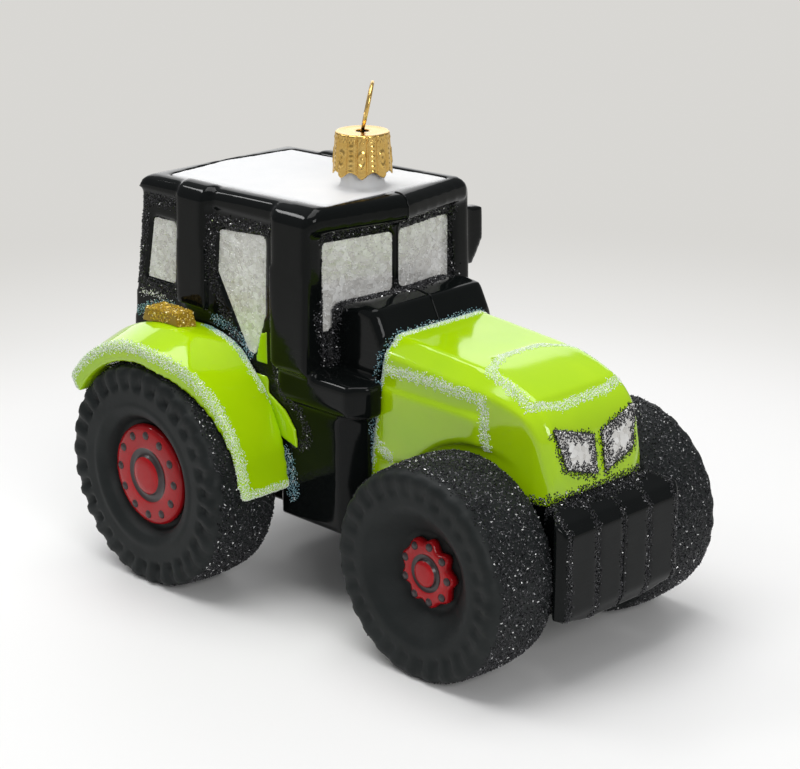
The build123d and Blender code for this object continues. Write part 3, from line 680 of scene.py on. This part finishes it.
# radius as a share of the hub's, height above the disc, and whether the ring up to it is painted grey
HUB_STEPS = [(0.0, 0.85, 0), (0.20, 0.82, 0), (0.32, 0.70, 0), (0.37, 0.42, 0), (0.395, 0.0, 1),
             (0.42, -0.22, 1), (0.50, -0.20, 1), (0.54, 0.04, 1), (0.58, 0.14, 0), (0.72, 0.16, 0),
             (0.86, 0.12, 0), (0.94, -0.05, 0), (0.985, -0.40, 0), (1.0, -0.9, 0), (1.0, -1.6, 0),
             (0.0, -1.6, 0)]


def make_hub(wheel, side):
    """Gloss red hub with a lobed edge, a grey ring round its raised middle and a ring of grey studs."""
    lobes, notch = HUB_LOBES[wheel.end]
    headings = 108
    angle = np.arange(headings)[:, None] * 2 * np.pi / headings
    share, height, painted = (np.array(column) for column in zip(*HUB_STEPS))
    dip = notch / wheel.hub_radius * (0.5 - 0.5 * np.cos(lobes * angle)) * (1 + 0.4 * np.sin(2 * angle))
    radii = wheel.hub_radius * share[None, :] * (1 - dip * ramp(share[None, :], 0.6, 0.95))
    disc = wheel.dish_depth - HUB_RISE
    depths = np.repeat(disc - height[None, :], headings, axis=0)
    corners, faces = turned(wheel.axle, wheel.outer, side, radii, depths)
    mesh = mesh_from(corners, faces)
    mesh.materials.append(RED)
    mesh.materials.append(RING_DARK)
    for i, polygon in enumerate(mesh.polygons):
        polygon.material_index = int(painted[i % (len(share) - 1) + 1])
    piece = new_piece(f"hub_skin_{wheel.end}_{side}", tidied(mesh), None,
                      replaced=[f"hub_{wheel.end}_{side}"])

    count, ring, stud = HUB_STUDS[wheel.end]
    place = Vector((wheel.axle[0], OUTWARD[side] * (wheel.outer - disc + 0.1), wheel.axle[1])) * MM
    studs = planned(STUDS, mesh_from([(0, 0, 0)], []), Radius=ring * wheel.hub_radius * MM, Count=count,
                    Stud=stud * MM, Place=place, Finish=RING_DARK)
    new_piece(f"hub_studs_{wheel.end}_{side}", studs, None)


for wheel in WHEELS:
    for side in PAIR:
        make_tyre(wheel, side)
        make_hub(wheel, side)

# ---------------------------------------------------------------- glass skins
black_nodes = (["cab_frame", "roof_rim", "cowl", "chassis", "rear_body", "door_mirror"]
               + both("door_post", "front_pillar", "tank", "step", "axle_front", "axle_rear"))
black_skin = blown("black_skin", black_nodes, BLACK, voxel=0.66, rounds=3)
block_skin = blown("front_block_skin", ["front_block"], BLACK, voxel=0.45, rounds=4)
hood_skin = blown("hood_skin", ["hood"], GREEN, voxel=0.55, rounds=5)
fender_skins = {side: blown(f"fender_skin_{side}", [f"fender_{side}"], GREEN, voxel=0.55, rounds=7)
                for side in PAIR}
blown("roof_skin", ["roof_panel"], WHITE, voxel=0.6, rounds=3)
for side in PAIR:
    blown(f"door_skin_{side}", [f"door_panel_{side}"], GREEN, voxel=0.35, rounds=2)
lamp_skins = {side: blown(f"headlamp_skin_{side}", [f"headlamp_{side}"], SILVER, voxel=0.3, rounds=2)
              for side in PAIR}

for node, material in [(node, SILVER) for node in both("windscreen", "door_glass", "quarter_glass")
                       + ["rear_window"]] + [(node, GOLD_GRIT) for node in both("fender_lamp")]:
    NODES[node].data.materials.clear()
    NODES[node].data.materials.append(material)

# ---------------------------------------------------------------- mould seam
SEAM_Y = 0.25
SEAM_THICKNESS = 0.22
# what of the section through the middle shows a seam: lowest x, lowest z, highest z, by skin
SEAM_STRETCHES = [(black_skin, -1.9, 56.0, 82.0), (block_skin, 50.0, 11.0, 36.0)]


def seam_line(skin, low_x, low_z, high_z):
    """The outline that the mould's joint leaves on a skin."""
    work = bmesh.new()
    work.from_mesh(skin.data)
    cut = bmesh.ops.bisect_plane(work, geom=work.verts[:] + work.edges[:] + work.faces[:],
                                 plane_co=(0, SEAM_Y * MM, 0), plane_no=(0, 1, 0))["geom_cut"]
    ends = [tuple(tuple(corner.co / MM) for corner in item.verts)
            for item in cut if isinstance(item, bmesh.types.BMEdge)]
    work.free()
    kept = [pair for pair in ends
            if all(x > low_x and low_z < z < high_z for x, _, z in pair)]
    line = bpy.data.meshes.new("seam")
    line.from_pydata([Vector(end) * MM for pair in kept for end in pair],
                     [(2 * i, 2 * i + 1) for i in range(len(kept))], [])
    work = bmesh.new()
    work.from_mesh(line)
    bmesh.ops.remove_doubles(work, verts=work.verts, dist=1e-5)
    work.to_mesh(line)
    work.free()
    return line


for i, (skin, low_x, low_z, high_z) in enumerate(SEAM_STRETCHES):
    seam = planned(BEAD, seam_line(skin, low_x, low_z, high_z), Thickness=SEAM_THICKNESS * MM, Finish=BLACK)
    seam.shade_smooth()
    new_piece(f"mould_seam_{i + 1}", seam, None)

# ---------------------------------------------------------------- pale and teal glitter lines on the green
REAR = WHEELS[0]
FENDER_LOW, FENDER_HIGH = box_mm("fender_right")
LIP_RADIUS = 27.0
TOE_RADIUS = FENDER_HIGH.x - REAR.axle[0]


def lip_point(degrees_up):
    """A place on the outer edge of the right-hand fender, by its angle above the axle."""
    turn_back = math.radians(degrees_up)
    reach = TOE_RADIUS - 0.3 + (LIP_RADIUS - TOE_RADIUS + 0.3) * float(ramp(degrees_up, 5, 60))
    x = REAR.axle[0] + reach * math.cos(turn_back)
    z = REAR.axle[1] + reach * math.sin(turn_back)
    y = FENDER_LOW.y + 5.7 * float(np.clip((x + 30.0) / 20.4, 0, 1))
    return (x, y, z)


fender_bead = [lip_point(a) for a in range(152, 2, -6)] + [(-9.8, -32.4, 23.6), (-9.7, -27.0, 23.2),
                                                          (-9.7, -21.4, 23.4)]
fender_inner = [(-29.0, -22.0, 52.4), (-25.5, -22.0, 51.4), (-21.5, -21.8, 48.9), (-17.2, -21.6, 41.7),
                (-13.0, -21.4, 32.3), (-10.8, -21.4, 24.0)]
fender_teal = [(-32.0, -21.8, 52.8), (-27.5, -21.6, 52.2), (-23.5, -21.4, 50.2), (-21.0, -21.2, 47.8)]
fender_back = [(-56.0, -21.4, 49.6), (-51.0, -21.4, 51.6), (-45.0, -21.4, 52.8)]
toe_blob = [(-11.4, -20.9, 29.0), (-10.4, -20.9, 25.0), (-9.8, -20.8, 21.5)]
for side in PAIR:
    skin = fender_skins[side]
    inner_teal = [on_side(fender_teal, side), on_side(fender_back, side)]
    glitter_piece(f"fender_glitter_{side}",
                  [banded(skin, [on_side(fender_bead, side)], 1.15),
                   banded(skin, [on_side(fender_inner, side)], 0.9)], "pale line", 21)
    glitter_piece(f"fender_teal_{side}",
                  [banded(skin, inner_teal, 0.95), banded(black_skin, inner_teal, 0.8),
                   banded(black_skin, [on_side(toe_blob, side)], 1.5)], "fender teal", 22)

hood_side = [(10.4, -14.9, 53.6), (9.6, -14.9, 50.0), (8.6, -14.9, 44.0), (7.4, -14.9, 37.0),
             (5.9, -14.9, 26.4)]
hood_crest = [(11.0, -13.4, 55.6), (11.4, -11.0, 56.9), (11.4, 11.0, 56.9), (11.0, 13.4, 55.6)]
hood_crest_teal = [(10.4, -14.0, 54.6), (10.6, -11.2, 56.6), (10.6, 11.2, 56.6), (10.4, 14.0, 54.6)]
side_panel_line = [(10.6, -15.4, 50.6), (21.3, -15.4, 51.0), (31.6, -15.4, 50.6), (35.2, -15.4, 50.2),
                   (36.3, -15.4, 48.4), (36.3, -15.4, 43.2), (36.8, -15.0, 41.4)]
low_rear_line = [(7.0, -15.0, 37.2), (9.4, -15.0, 35.6), (12.4, -15.0, 33.6)]
top_panel_side = [(34.6, -11.4, 54.8), (40.0, -11.6, 53.0), (45.0, -11.8, 50.2)]
top_panel_rear = [(34.6, -11.2, 54.8), (31.6, -5.0, 55.4), (31.2, 0.0, 55.6), (31.6, 5.0, 55.4),
                  (34.6, 11.2, 54.8)]
top_panel_front = [(45.0, -11.8, 50.2), (47.6, -6.8, 50.2), (47.4, 0.0, 50.4), (47.0, 6.8, 50.4),
                   (45.0, 11.6, 50.2)]
glitter_piece("hood_glitter",
              [banded(hood_skin, mirrored([hood_side, side_panel_line, low_rear_line]), 0.95),
               banded(hood_skin, [hood_crest], 0.8),
               banded(hood_skin, mirrored([top_panel_side]) + [top_panel_rear, top_panel_front], 0.85)],
              "pale line", 23)
glitter_piece("hood_teal",
              [banded(hood_skin, [hood_crest_teal] + mirrored([hood_side]), 0.55),
               banded(black_skin, [hood_crest_teal] + mirrored([hood_side]), 0.5)], "hood teal", 24)

# ---------------------------------------------------------------- coarse black glitter
door_strip = [(-12.4, -20.4, 73.6), (-17.0, -20.4, 73.4), (-27.0, -20.4, 73.0), (-32.0, -20.6, 73.0),
              (-32.4, -20.6, 66.5), (-32.2, -20.8, 60.0), (-29.0, -20.8, 54.6), (-25.0, -20.9, 50.3)]
quarter_strip = [(-43.0, -20.2, 74.2), (-52.6, -20.2, 73.8), (-53.4, -20.4, 68.7), (-54.8, -20.6, 62.4),
                 (-55.4, -20.8, 56.0), (-50.0, -20.8, 55.7), (-44.0, -20.8, 55.6)]
door_edge = [(-13.4, -20.9, 55.0), (-13.6, -20.9, 50.9), (-13.6, -20.9, 45.5), (-11.6, -21.2, 41.6),
             (-8.0, -20.4, 39.4), (-5.4, -20.4, 36.0), (-5.2, -20.4, 32.6), (-9.2, -20.4, 31.6)]
windscreen_strip = [(-4.4, -18.6, 60.0), (-4.4, -18.6, 73.6), (-3.6, -14.0, 74.2), (-1.6, -2.0, 74.4)]
windscreen_foot = [(-4.0, -17.0, 57.0), (-3.0, -15.0, 61.8), (-1.4, -11.0, 62.6), (0.2, -6.0, 62.8),
                   (1.2, 0.0, 63.0)]
cowl_corner = [(-4.4, -18.6, 60.0), (-4.0, -16.8, 56.0), (-3.4, -15.8, 51.0)]
nose_joint = [(46.5, -13.6, 33.6), (50.4, -13.2, 34.2), (51.6, -12.2, 34.5), (53.4, -6.0, 34.6),
              (53.4, 0.0, 34.6)]
block_lines = []
for y in (-14.9, -7.2, 0.0, 7.2, 14.9):
    block_lines.append([(53.6, y, 34.2), (56.4, y, 32.4), (57.9, y, 30.6), (58.0, y, 24.0), (58.0, y, 15.0),
                        (57.0, y, 12.0)])
glitter_piece("cab_black_glitter",
              [banded(black_skin, mirrored([door_strip, quarter_strip]), 1.05),
               banded(black_skin, mirrored([windscreen_strip]), 1.2),
               banded(black_skin, mirrored([door_edge]), 0.9),
               banded(black_skin, mirrored([windscreen_foot, cowl_corner]), 2.4, ragged=0.4)],
              "trim", 31)
glitter_piece("nose_black_glitter",
              [banded(hood_skin, mirrored([nose_joint]), 0.9, ragged=0.4),
               banded(block_skin, mirrored([nose_joint]), 1.6, ragged=0.4),
               banded(block_skin, block_lines, 0.62, ragged=0.4)], "trim", 32)
lamp_frame = [(52.0, -11.0, 47.4), (53.0, -1.4, 44.6), (53.8, -1.4, 37.2), (52.6, -9.2, 39.6),
              (52.0, -11.0, 47.4)]
for side in PAIR:
    frame_line = on_side(lamp_frame, side)
    glitter_piece(f"headlamp_glitter_{side}",
                  [banded(lamp_skins[side], [frame_line], 1.2, ragged=0.5),
                   banded(hood_skin, [frame_line], 0.75, ragged=0.5)], "lamp frame", 33)


# ---------------------------------------------------------------- clear glitter on the panes, gold lamps
def outer_side(node, centre):
    """The faces of a CAD node that look away from a centre, fully covered."""
    corners, triangles, facing = arrays_of(NODES[node].data)
    away = corners[triangles].mean(axis=1) - np.array(centre)
    away /= np.linalg.norm(away, axis=1, keepdims=True)
    kept = triangles[(facing * away).sum(axis=1) > 0.35]
    return host_mesh(corners, kept, np.ones(len(corners)))


CAB_LOW, CAB_HIGH = box_mm("cab_frame")
CAB_CENTRE = (CAB_LOW + CAB_HIGH) / 2
panes = both("windscreen", "door_glass", "quarter_glass") + ["rear_window"]
glitter_piece("pane_glitter", [outer_side(node, CAB_CENTRE) for node in panes], "pane", 41)
for side in PAIR:
    low, high = box_mm(f"fender_lamp_{side}")
    lamp_centre = Vector(((low.x + high.x) / 2, (low.y + high.y) / 2, low.z - 4))
    glitter_piece(f"lamp_gold_{side}", [outer_side(f"fender_lamp_{side}", lamp_centre)], "fender lamp", 42)
silver_streak = [(-54.8, -20.9, 53.6), (-51.1, -20.9, 54.2), (-47.6, -20.9, 53.6)]
glitter_piece("bare_streaks", [banded(black_skin, mirrored([silver_streak]), 0.4)], "bare streak", 43)

# ---------------------------------------------------------------- crown cap and wire
CAP_LOW, CAP_HIGH = box_mm("cap")
CAP_AXIS = ((CAP_LOW.x + CAP_HIGH.x) / 2, (CAP_LOW.y + CAP_HIGH.y) / 2)
CAP_RADIUS = (CAP_HIGH.x - CAP_LOW.x) / 2
CAP_DRAW = 0.6              # how much narrower the cap is at the top
CAP_WALL = 0.3
CAP_HOLE = 1.3
CAP_FLUTES = 16
CAP_LOBES = 8
SAMPLES_PER_FLUTE = 14


def cap_relief(angle, radius, height):
    """Stamped pattern of the cap's skirt: creases between flutes, ovals and columns of beads."""
    pitch = 2 * np.pi / CAP_FLUTES
    turn = (angle + pitch / 2) % (2 * pitch)
    oval_panel = turn < pitch
    across = ((turn % pitch) - pitch / 2) * radius
    edge = pitch * radius / 2 - np.abs(across)
    crease = -0.34 * np.exp(-(edge / 0.20) ** 2)
    middle = height - 3.7
    oval = np.hypot(across / 0.72, middle / 1.35)
    ring = 0.17 * np.exp(-((oval - 1) / 0.20) ** 2) + 0.14 * np.exp(-(oval / 0.30) ** 2)
    row = (height % 0.95) - 0.475
    beads = 0.16 * np.exp(-(across ** 2 + row ** 2) / 0.07)
    crown = 0.12 * np.exp(-((height - 7.3) / 0.22) ** 2) * np.cos(3 * CAP_FLUTES * angle)
    return crease + np.where(oval_panel, ring, beads) * ramp(7.0 - height, 0, 0.6) + crown


def make_cap():
    """Stamped gold cap: fluted skirt with a scalloped edge, a flat top with a hole, open below."""
    headings = CAP_FLUTES * SAMPLES_PER_FLUTE
    angle = np.arange(headings)[:, None] * 2 * np.pi / headings
    tall = CAP_HIGH.z - CAP_LOW.z
    scallop = 1.25 * (0.5 - 0.5 * np.cos(CAP_LOBES * angle)) ** 0.8
    up = np.linspace(0, 1, 40)[None, :]
    heights = scallop + up * (tall - 0.25 - scallop)
    skirt = CAP_RADIUS - CAP_DRAW * heights / tall
    skirt = skirt + cap_relief(angle, skirt, heights)
    top_radii = np.array([0.985, 0.96, 0.90, 0.8, 0.6, 0.4])[None, :] * (CAP_RADIUS - CAP_DRAW)
    top_heights = tall + np.array([-0.12, -0.03, 0.0, -0.10, -0.08, -0.05])[None, :]
    hole = np.array([CAP_HOLE + 0.1, CAP_HOLE, CAP_HOLE, CAP_HOLE + 0.1])
    hole_heights = tall + np.array([-0.04, -0.10, -CAP_WALL + 0.05, -CAP_WALL])
    room = CAP_RADIUS - CAP_DRAW - CAP_WALL
    inside_radii = np.array([room * 0.6, room, room + 0.05])
    inside_heights = tall + np.array([-CAP_WALL, -CAP_WALL, -CAP_WALL - 0.3])
    wall = CAP_RADIUS - CAP_WALL - CAP_DRAW * np.array([0.5, 0.0])
    full = np.ones((headings, 1))
    radii = np.concatenate([skirt, top_radii * full, hole * full, inside_radii * full, wall * full,
                            skirt[:, :1] - CAP_WALL, skirt[:, :1]], axis=1)
    heights = np.concatenate([heights, top_heights * full, hole_heights * full, inside_heights * full,
                              np.array([tall / 2, 1.6]) * full, scallop, scallop], axis=1)
    corners = np.stack([CAP_AXIS[0] + radii * np.cos(angle), CAP_AXIS[1] + radii * np.sin(angle),
                        CAP_LOW.z + heights], axis=-1).reshape(-1, 3)
    steps = radii.shape[1]
    here = np.arange(headings)[:, None] * steps + np.arange(steps - 1)[None, :]
    there = (np.arange(headings)[:, None] + 1) % headings * steps + np.arange(steps - 1)[None, :]
    faces = np.stack([here, there, there + 1, here + 1], axis=-1).reshape(-1, 4)
    new_piece("cap_skin", tidied(mesh_from(corners, faces)), GILT, "cap", ["cap"])


make_cap()

WIRE_LEAN, WIRE_TURN = math.radians(12.0), math.radians(-45.0)
WIRE_RADIUS = 0.35
LOOP_RADIUS = 4.2
LOOP_HEIGHT = 5.4           # of the loop's middle above the cap
# across and along the loop's plane, from the cap's top
wire_half = [(2.3, -9.0), (1.4, -5.0), (0.42, -1.6), (0.42, 0.4), (1.6, 1.3), (3.4, 2.4), (4.1, 3.8),
             (LOOP_RADIUS, LOOP_HEIGHT)]
bend = [(LOOP_RADIUS * math.cos(a), LOOP_HEIGHT + LOOP_RADIUS * math.sin(a))
        for a in np.linspace(0, math.pi, 25)[1:-1]]
wire_leg = smooth_line(wire_half, 40)
wire_flat = [*wire_leg, *bend, *(wire_leg[::-1] * (-1, 1))]
sideways = Vector((math.cos(WIRE_TURN), math.sin(WIRE_TURN), 0))
upwards = Vector((-math.sin(WIRE_TURN) * math.sin(WIRE_LEAN), math.cos(WIRE_TURN) * math.sin(WIRE_LEAN),
                  math.cos(WIRE_LEAN)))
wire_foot = Vector((CAP_AXIS[0], CAP_AXIS[1], CAP_HIGH.z))
wire_line = bpy.data.meshes.new("wire")
wire_line.from_pydata([(wire_foot + sideways * float(a) + upwards * float(b)) * MM for a, b in wire_flat],
                      [(i, i + 1) for i in range(len(wire_flat) - 1)], [])
wire = planned(BEAD, wire_line, Thickness=WIRE_RADIUS * MM, Finish=GILT)
wire.shade_smooth()
new_piece("hanger_wire", wire, None, "hanger", ["hanger"])


# ---------------------------------------------------------------- stage, light and camera
def flat_mesh(name, half):
    mesh = bpy.data.meshes.new(name)
    corners = [(-half, -half, 0), (half, -half, 0), (half, half, 0), (-half, half, 0)]
    mesh.from_pydata(corners, [], [(0, 1, 2, 3)])
    return mesh


floor = bpy.data.objects.new("floor", flat_mesh("floor", 6.0))
floor.data.materials.append(floor_paper())
bpy.context.scene.collection.objects.link(floor)

world = bpy.data.worlds.new("studio")
bpy.context.scene.world = world
world.use_nodes = True
world.node_tree.nodes["Background"].inputs["Color"].default_value = (0.97, 0.98, 1.0, 1)
world.node_tree.nodes["Background"].inputs["Strength"].default_value = 0.31


LAMP_AIM = Vector((0, 0, 0.04))


def softbox(name, place, size, watts):
    """A soft rectangular lamp that looks at the ornament."""
    lamp = bpy.data.lights.new(name, "AREA")
    lamp.shape = "RECTANGLE"
    lamp.size, lamp.size_y = size
    lamp.energy = watts
    holder = bpy.data.objects.new(name, lamp)
    holder.location = place
    holder.rotation_euler = (LAMP_AIM - Vector(place)).to_track_quat("-Z", "Y").to_euler()
    bpy.context.scene.collection.objects.link(holder)


# name, place and size in metres, watts
for row in (("top_box", (-0.10, -0.05, 0.75), (0.60, 0.60), 4.2),
            ("back_box", (-0.68, 0.67, 0.36), (0.95, 0.60), 2.3),
            ("front_box", (0.74, -0.34, 0.42), (0.40, 0.30), 2.9),
            ("strip_box", (-0.54, -0.24, 0.56), (0.25, 0.08), 0.8)):
    softbox(*row)

AZIMUTH, ELEVATION = math.radians(45.29), math.radians(18.34)
CAMERA_AIM = Vector((-0.00013, 0.0, 0.04154))
CAMERA_REACH = 0.44887
camera_data = bpy.data.cameras.new("camera")
camera_data.sensor_width = 36.0
camera_data.lens = 102.3
camera_data.clip_start, camera_data.clip_end = 0.01, 20.0
camera = bpy.data.objects.new("camera", camera_data)
back = Vector((math.sin(AZIMUTH) * math.cos(ELEVATION), -math.cos(AZIMUTH) * math.cos(ELEVATION),
               math.sin(ELEVATION)))
camera.location = CAMERA_AIM + back * CAMERA_REACH
camera.rotation_mode = "QUATERNION"
camera.rotation_quaternion = (-back).to_track_quat("-Z", "Y")
bpy.context.scene.collection.objects.link(camera)
bpy.context.scene.camera = camera

bpy.context.scene.view_settings.view_transform = "Standard"
